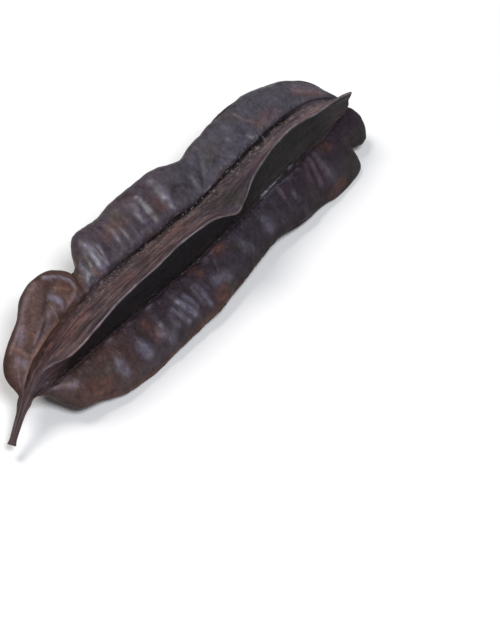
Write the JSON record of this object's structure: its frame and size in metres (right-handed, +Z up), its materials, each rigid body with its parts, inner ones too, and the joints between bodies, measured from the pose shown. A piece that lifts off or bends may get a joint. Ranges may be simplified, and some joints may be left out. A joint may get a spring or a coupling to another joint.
{
  "type": "aridan pod",
  "caption": "Dried aridan fruit with its stalk, lying on its side; thick wrinkled wings and thin woody wings alternate round a long body.",
  "frame": {"origin": "centre of the bounding box at the surface that the pod lies on", "axes": "+X along the pod from the stalk to the tip, +Z up from the surface, +Y to the back, where the higher thick wing is"},
  "size_m": [0.1944, 0.0458, 0.039],
  "materials": {
    "pod_skin": "dry dark brown skin with a dull leathery shine"
  },
  "bodies": {
    "root": {"pod": "pod_skin"}
  },
  "joints": []
}
